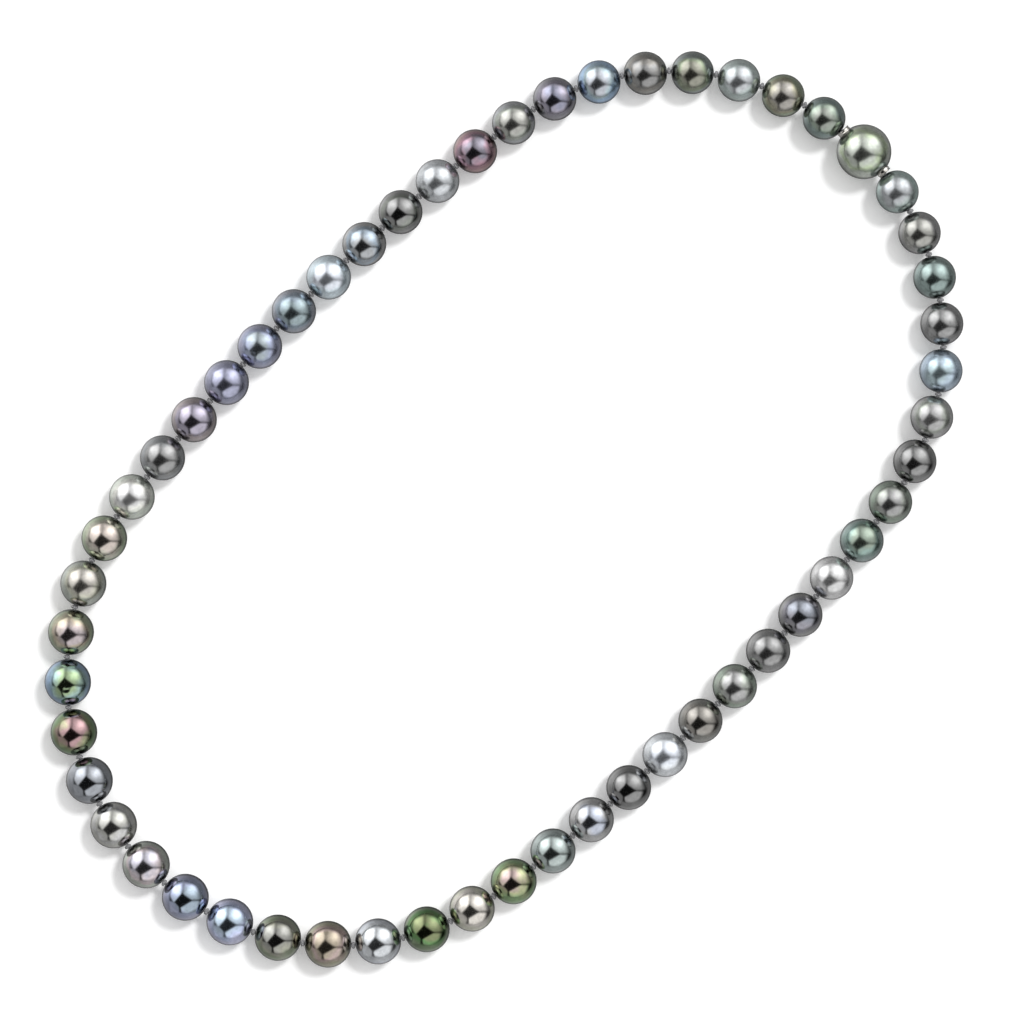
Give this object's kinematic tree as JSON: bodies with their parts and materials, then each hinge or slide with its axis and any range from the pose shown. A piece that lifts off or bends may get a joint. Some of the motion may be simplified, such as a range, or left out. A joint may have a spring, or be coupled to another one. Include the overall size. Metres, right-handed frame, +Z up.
{
  "type": "pearl necklace",
  "caption": "Graduated strand of round dark overtone pearls knotted on silk, closed by a ball clasp hidden in a larger pearl with white metal collars.",
  "frame": {"origin": "bottom centre of the bounding box, on the table that the closed necklace lies on", "axes": "+Y from the front pearl to the clasp pearl, along the loop's long axis; +Z up from the table; +X to the side where the plug enters the clasp pearl"},
  "size_m": [0.118, 0.2016, 0.0104],
  "materials": {
    "pearl_silver": "polished",
    "pearl_green": "polished",
    "pearl_teal": "polished",
    "pearl_blue": "polished",
    "pearl_violet": "polished",
    "pearl_bronze": "polished",
    "pearl_olive": "polished",
    "pearl_charcoal": "polished",
    "white_gold": "polished",
    "silk": "matte"
  },
  "bodies": {
    "pearl_27": {"pearl_27": "pearl_violet", "silk_cord": "silk"},
    "pearl_01": {"pearl_01": "pearl_silver"},
    "pearl_02": {"pearl_02": "pearl_silver"},
    "pearl_03": {"pearl_03": "pearl_green"},
    "pearl_04": {"pearl_04": "pearl_charcoal"},
    "pearl_05": {"pearl_05": "pearl_blue"},
    "pearl_06": {"pearl_06": "pearl_olive"},
    "pearl_07": {"pearl_07": "pearl_violet"},
    "pearl_08": {"pearl_08": "pearl_green"},
    "pearl_09": {"pearl_09": "pearl_green"},
    "pearl_10": {"pearl_10": "pearl_silver"},
    "pearl_11": {"pearl_11": "pearl_violet"},
    "pearl_12": {"pearl_12": "pearl_charcoal"},
    "pearl_13": {"pearl_13": "pearl_charcoal"},
    "pearl_14": {"pearl_14": "pearl_bronze"},
    "pearl_15": {"pearl_15": "pearl_silver"},
    "pearl_16": {"pearl_16": "pearl_charcoal"},
    "pearl_17": {"pearl_17": "pearl_blue"},
    "pearl_18": {"pearl_18": "pearl_teal"},
    "pearl_19": {"pearl_19": "pearl_olive"},
    "pearl_20": {"pearl_20": "pearl_silver"},
    "pearl_21": {"pearl_21": "pearl_green"},
    "pearl_22": {"pearl_22": "pearl_blue"},
    "pearl_23": {"pearl_23": "pearl_bronze"},
    "pearl_24": {"pearl_24": "pearl_olive"},
    "pearl_25": {"pearl_25": "pearl_blue"},
    "pearl_26": {"pearl_26": "pearl_blue"},
    "pearl_28": {"pearl_28": "pearl_olive"},
    "pearl_29": {"pearl_29": "pearl_blue"},
    "pearl_30": {"pearl_30": "pearl_bronze"},
    "pearl_31": {"pearl_31": "pearl_green"},
    "pearl_32": {"pearl_32": "pearl_bronze"},
    "pearl_33": {"pearl_33": "pearl_silver"},
    "pearl_34": {"pearl_34": "pearl_olive"},
    "pearl_35": {"pearl_35": "pearl_silver"},
    "pearl_36": {"pearl_36": "pearl_green"},
    "pearl_37": {"pearl_37": "pearl_violet"},
    "pearl_38": {"pearl_38": "pearl_violet"},
    "pearl_39": {"pearl_39": "pearl_blue"},
    "pearl_40": {"pearl_40": "pearl_teal"},
    "pearl_41": {"pearl_41": "pearl_silver"},
    "pearl_42": {"pearl_42": "pearl_teal"},
    "pearl_43": {"pearl_43": "pearl_green"},
    "pearl_44": {"pearl_44": "pearl_silver"},
    "pearl_45": {"pearl_45": "pearl_violet"},
    "pearl_46": {"pearl_46": "pearl_green"},
    "pearl_47": {"pearl_47": "pearl_violet"},
    "pearl_48": {"pearl_48": "pearl_teal"},
    "pearl_49": {"pearl_49": "pearl_bronze"},
    "pearl_50": {"pearl_50": "pearl_olive"},
    "pearl_51": {"pearl_51": "pearl_silver"},
    "pearl_52": {"pearl_52": "pearl_bronze"},
    "pearl_53": {"pearl_53": "pearl_green"},
    "clasp": {"clasp_pearl": "pearl_olive", "clasp_barrel": "white_gold", "clasp_end_cup": "white_gold", "snap_ring": "white_gold"},
    "plug": {"clasp_plug": "white_gold"}
  },
  "joints": [
    {"name": "fold_01", "type": "hinge", "parent": "pearl_27", "child": "pearl_28", "pos_m": [-0.00487, -0.09631, 0.0045], "axis": [1, 0, 0], "range_deg": [0, 18]},
    {"name": "fold_01_right", "type": "hinge", "parent": "pearl_27", "child": "pearl_26", "pos_m": [0.00488, -0.09631, 0.0045], "axis": [1, 0, 0], "range_deg": [0, 18]},
    {"name": "clasp_open", "type": "hinge", "parent": "pearl_28", "child": "pearl_29", "pos_m": [-0.01441, -0.09448, 0.00448], "axis": [0, 0, 1], "range_deg": [0, 6], "deforming": ["silk_cord", "snap_ring"]},
    {"name": "open_right_01", "type": "hinge", "parent": "pearl_26", "child": "pearl_25", "pos_m": [0.01442, -0.09448, 0.00448], "axis": [0, 0, 1], "range_deg": [-6, 0]},
    {"name": "fold_02", "type": "hinge", "parent": "pearl_29", "child": "pearl_30", "pos_m": [-0.0234, -0.09091, 0.00446], "axis": [1, 0, 0], "range_deg": [0, 18]},
    {"name": "fold_02_right", "type": "hinge", "parent": "pearl_25", "child": "pearl_24", "pos_m": [0.02341, -0.09091, 0.00446], "axis": [1, 0, 0], "range_deg": [0, 18]},
    {"name": "open_left_02", "type": "hinge", "parent": "pearl_30", "child": "pearl_31", "pos_m": [-0.03153, -0.08575, 0.00445], "axis": [0, 0, 1], "range_deg": [0, 6]},
    {"name": "open_right_02", "type": "hinge", "parent": "pearl_24", "child": "pearl_23", "pos_m": [0.03154, -0.08575, 0.00445], "axis": [0, 0, 1], "range_deg": [-6, 0]},
    {"name": "fold_03", "type": "hinge", "parent": "pearl_31", "child": "pearl_32", "pos_m": [-0.03854, -0.07919, 0.00443], "axis": [1, 0, 0], "range_deg": [0, 18]},
    {"name": "fold_03_right", "type": "hinge", "parent": "pearl_23", "child": "pearl_22", "pos_m": [0.03855, -0.07919, 0.00443], "axis": [1, 0, 0], "range_deg": [0, 18]},
    {"name": "open_left_03", "type": "hinge", "parent": "pearl_32", "child": "pearl_33", "pos_m": [-0.04419, -0.07148, 0.00441], "axis": [0, 0, 1], "range_deg": [0, 6]},
    {"name": "open_right_03", "type": "hinge", "parent": "pearl_22", "child": "pearl_21", "pos_m": [0.04419, -0.07148, 0.00441], "axis": [0, 0, 1], "range_deg": [-6, 0]},
    {"name": "fold_04", "type": "hinge", "parent": "pearl_33", "child": "pearl_34", "pos_m": [-0.0483, -0.0629, 0.00439], "axis": [1, 0, 0], "range_deg": [0, 18]},
    {"name": "fold_04_right", "type": "hinge", "parent": "pearl_21", "child": "pearl_20", "pos_m": [0.04831, -0.0629, 0.00439], "axis": [1, 0, 0], "range_deg": [0, 18]},
    {"name": "open_left_04", "type": "hinge", "parent": "pearl_34", "child": "pearl_35", "pos_m": [-0.05076, -0.05374, 0.00437], "axis": [0, 0, 1], "range_deg": [0, 6]},
    {"name": "open_right_04", "type": "hinge", "parent": "pearl_20", "child": "pearl_19", "pos_m": [0.05076, -0.05374, 0.00437], "axis": [0, 0, 1], "range_deg": [-6, 0]},
    {"name": "fold_05", "type": "hinge", "parent": "pearl_35", "child": "pearl_36", "pos_m": [-0.05206, -0.04438, 0.00435], "axis": [1, 0, 0], "range_deg": [0, 18]},
    {"name": "fold_05_right", "type": "hinge", "parent": "pearl_19", "child": "pearl_18", "pos_m": [0.05207, -0.04438, 0.00435], "axis": [1, 0, 0], "range_deg": [0, 18]},
    {"name": "open_left_05", "type": "hinge", "parent": "pearl_36", "child": "pearl_37", "pos_m": [-0.0531, -0.03503, 0.00433], "axis": [0, 0, 1], "range_deg": [0, 6]},
    {"name": "open_right_05", "type": "hinge", "parent": "pearl_18", "child": "pearl_17", "pos_m": [0.05311, -0.03503, 0.00433], "axis": [0, 0, 1], "range_deg": [-6, 0]},
    {"name": "fold_06", "type": "hinge", "parent": "pearl_37", "child": "pearl_38", "pos_m": [-0.05389, -0.02569, 0.00432], "axis": [1, 0, 0], "range_deg": [0, 18]},
    {"name": "fold_06_right", "type": "hinge", "parent": "pearl_17", "child": "pearl_16", "pos_m": [0.0539, -0.02569, 0.00432], "axis": [1, 0, 0], "range_deg": [0, 18]},
    {"name": "open_left_06", "type": "hinge", "parent": "pearl_38", "child": "pearl_39", "pos_m": [-0.05444, -0.01636, 0.0043], "axis": [0, 0, 1], "range_deg": [0, 6]},
    {"name": "open_right_06", "type": "hinge", "parent": "pearl_16", "child": "pearl_15", "pos_m": [0.05444, -0.01636, 0.0043], "axis": [0, 0, 1], "range_deg": [-6, 0]},
    {"name": "fold_07", "type": "hinge", "parent": "pearl_39", "child": "pearl_40", "pos_m": [-0.05473, -0.00706, 0.00428], "axis": [1, 0, 0], "range_deg": [0, 18]},
    {"name": "fold_07_right", "type": "hinge", "parent": "pearl_15", "child": "pearl_14", "pos_m": [0.05474, -0.00706, 0.00428], "axis": [1, 0, 0], "range_deg": [0, 18]},
    {"name": "open_left_07", "type": "hinge", "parent": "pearl_40", "child": "pearl_41", "pos_m": [-0.05479, 0.00221, 0.00426], "axis": [0, 0, 1], "range_deg": [-5.14, 0]},
    {"name": "open_right_07", "type": "hinge", "parent": "pearl_14", "child": "pearl_13", "pos_m": [0.05479, 0.00221, 0.00426], "axis": [0, 0, 1], "range_deg": [0, 5.14]},
    {"name": "fold_08", "type": "hinge", "parent": "pearl_41", "child": "pearl_42", "pos_m": [-0.0546, 0.01144, 0.00425], "axis": [1, 0, 0], "range_deg": [0, 18]},
    {"name": "fold_08_right", "type": "hinge", "parent": "pearl_13", "child": "pearl_12", "pos_m": [0.05461, 0.01144, 0.00425], "axis": [1, 0, 0], "range_deg": [0, 18]},
    {"name": "open_left_08", "type": "hinge", "parent": "pearl_42", "child": "pearl_43", "pos_m": [-0.05418, 0.02063, 0.00423], "axis": [0, 0, 1], "range_deg": [-5.14, 0]},
    {"name": "open_right_08", "type": "hinge", "parent": "pearl_12", "child": "pearl_11", "pos_m": [0.05419, 0.02063, 0.00423], "axis": [0, 0, 1], "range_deg": [0, 5.14]},
    {"name": "fold_09", "type": "hinge", "parent": "pearl_43", "child": "pearl_44", "pos_m": [-0.05352, 0.02978, 0.00421], "axis": [1, 0, 0], "range_deg": [0, 18]},
    {"name": "fold_09_right", "type": "hinge", "parent": "pearl_11", "child": "pearl_10", "pos_m": [0.05353, 0.02978, 0.00421], "axis": [1, 0, 0], "range_deg": [0, 18]},
    {"name": "open_left_09", "type": "hinge", "parent": "pearl_44", "child": "pearl_45", "pos_m": [-0.05263, 0.03887, 0.0042], "axis": [0, 0, 1], "range_deg": [-5.14, 0]},
    {"name": "open_right_09", "type": "hinge", "parent": "pearl_10", "child": "pearl_09", "pos_m": [0.05264, 0.03887, 0.0042], "axis": [0, 0, 1], "range_deg": [0, 5.14]},
    {"name": "fold_10", "type": "hinge", "parent": "pearl_45", "child": "pearl_46", "pos_m": [-0.05152, 0.04791, 0.00418], "axis": [1, 0, 0], "range_deg": [0, 18]},
    {"name": "fold_10_right", "type": "hinge", "parent": "pearl_09", "child": "pearl_08", "pos_m": [0.05152, 0.04791, 0.00418], "axis": [1, 0, 0], "range_deg": [0, 18]},
    {"name": "open_left_10", "type": "hinge", "parent": "pearl_46", "child": "pearl_47", "pos_m": [-0.04997, 0.05686, 0.00417], "axis": [0, 0, 1], "range_deg": [-5.14, 0]},
    {"name": "open_right_10", "type": "hinge", "parent": "pearl_08", "child": "pearl_07", "pos_m": [0.04998, 0.05686, 0.00417], "axis": [0, 0, 1], "range_deg": [0, 5.14]},
    {"name": "fold_11", "type": "hinge", "parent": "pearl_47", "child": "pearl_48", "pos_m": [-0.04702, 0.06541, 0.00415], "axis": [1, 0, 0], "range_deg": [0, 18]},
    {"name": "fold_11_right", "type": "hinge", "parent": "pearl_07", "child": "pearl_06", "pos_m": [0.04703, 0.06541, 0.00415], "axis": [1, 0, 0], "range_deg": [0, 18]},
    {"name": "open_left_11", "type": "hinge", "parent": "pearl_48", "child": "pearl_49", "pos_m": [-0.04264, 0.07329, 0.00414], "axis": [0, 0, 1], "range_deg": [-5.14, 0]},
    {"name": "open_right_11", "type": "hinge", "parent": "pearl_06", "child": "pearl_05", "pos_m": [0.04264, 0.07329, 0.00414], "axis": [0, 0, 1], "range_deg": [0, 5.14]},
    {"name": "fold_12", "type": "hinge", "parent": "pearl_49", "child": "pearl_50", "pos_m": [-0.03697, 0.08026, 0.00413], "axis": [1, 0, 0], "range_deg": [0, 18]},
    {"name": "fold_12_right", "type": "hinge", "parent": "pearl_05", "child": "pearl_04", "pos_m": [0.03697, 0.08026, 0.00413], "axis": [1, 0, 0], "range_deg": [0, 18]},
    {"name": "open_left_12", "type": "hinge", "parent": "pearl_50", "child": "pearl_51", "pos_m": [-0.03019, 0.08613, 0.00411], "axis": [0, 0, 1], "range_deg": [-5.14, 0]},
    {"name": "open_right_12", "type": "hinge", "parent": "pearl_04", "child": "pearl_03", "pos_m": [0.03019, 0.08613, 0.00411], "axis": [0, 0, 1], "range_deg": [0, 5.14]},
    {"name": "fold_13", "type": "hinge", "parent": "pearl_51", "child": "pearl_52", "pos_m": [-0.02252, 0.09072, 0.0041], "axis": [1, 0, 0], "range_deg": [0, 18]},
    {"name": "fold_13_right", "type": "hinge", "parent": "pearl_03", "child": "pearl_02", "pos_m": [0.02252, 0.09072, 0.0041], "axis": [1, 0, 0], "range_deg": [0, 18]},
    {"name": "open_left_13", "type": "hinge", "parent": "pearl_52", "child": "pearl_53", "pos_m": [-0.0142, 0.09391, 0.00449], "axis": [0, 0, 1], "range_deg": [-5.14, 0]},
    {"name": "open_right_13", "type": "hinge", "parent": "pearl_02", "child": "pearl_01", "pos_m": [0.01421, 0.09391, 0.00449], "axis": [0, 0, 1], "range_deg": [0, 5.14]},
    {"name": "clasp_turn", "type": "hinge", "parent": "pearl_53", "child": "clasp", "pos_m": [-0.00555, 0.09561, 0.00524], "axis": [1, 0, 0], "range_deg": [-90, 90]},
    {"name": "plug_turn", "type": "hinge", "parent": "pearl_01", "child": "plug", "pos_m": [0.00555, 0.09561, 0.00524], "axis": [1, 0, 0], "range_deg": [-90, 90]}
  ],
  "couplings": [
    {"joint": "fold_01_right", "follows": "fold_01", "ratio": 1},
    {"joint": "open_right_01", "follows": "clasp_open", "ratio": -1},
    {"joint": "fold_02_right", "follows": "fold_02", "ratio": 1},
    {"joint": "open_left_02", "follows": "clasp_open", "ratio": 1},
    {"joint": "open_right_02", "follows": "clasp_open", "ratio": -1},
    {"joint": "fold_03_right", "follows": "fold_03", "ratio": 1},
    {"joint": "open_left_03", "follows": "clasp_open", "ratio": 1},
    {"joint": "open_right_03", "follows": "clasp_open", "ratio": -1},
    {"joint": "fold_04_right", "follows": "fold_04", "ratio": 1},
    {"joint": "open_left_04", "follows": "clasp_open", "ratio": 1},
    {"joint": "open_right_04", "follows": "clasp_open", "ratio": -1},
    {"joint": "fold_05_right", "follows": "fold_05", "ratio": 1},
    {"joint": "open_left_05", "follows": "clasp_open", "ratio": 1},
    {"joint": "open_right_05", "follows": "clasp_open", "ratio": -1},
    {"joint": "fold_06_right", "follows": "fold_06", "ratio": 1},
    {"joint": "open_left_06", "follows": "clasp_open", "ratio": 1},
    {"joint": "open_right_06", "follows": "clasp_open", "ratio": -1},
    {"joint": "fold_07_right", "follows": "fold_07", "ratio": 1},
    {"joint": "open_left_07", "follows": "clasp_open", "ratio": -0.85714},
    {"joint": "open_right_07", "follows": "clasp_open", "ratio": 0.85714},
    {"joint": "fold_08_right", "follows": "fold_08", "ratio": 1},
    {"joint": "open_left_08", "follows": "clasp_open", "ratio": -0.85714},
    {"joint": "open_right_08", "follows": "clasp_open", "ratio": 0.85714},
    {"joint": "fold_09_right", "follows": "fold_09", "ratio": 1},
    {"joint": "open_left_09", "follows": "clasp_open", "ratio": -0.85714},
    {"joint": "open_right_09", "follows": "clasp_open", "ratio": 0.85714},
    {"joint": "fold_10_right", "follows": "fold_10", "ratio": 1},
    {"joint": "open_left_10", "follows": "clasp_open", "ratio": -0.85714},
    {"joint": "open_right_10", "follows": "clasp_open", "ratio": 0.85714},
    {"joint": "fold_11_right", "follows": "fold_11", "ratio": 1},
    {"joint": "open_left_11", "follows": "clasp_open", "ratio": -0.85714},
    {"joint": "open_right_11", "follows": "clasp_open", "ratio": 0.85714},
    {"joint": "fold_12_right", "follows": "fold_12", "ratio": 1},
    {"joint": "open_left_12", "follows": "clasp_open", "ratio": -0.85714},
    {"joint": "open_right_12", "follows": "clasp_open", "ratio": 0.85714},
    {"joint": "fold_13_right", "follows": "fold_13", "ratio": 1},
    {"joint": "open_left_13", "follows": "clasp_open", "ratio": -0.85714},
    {"joint": "open_right_13", "follows": "clasp_open", "ratio": 0.85714}
  ]
}
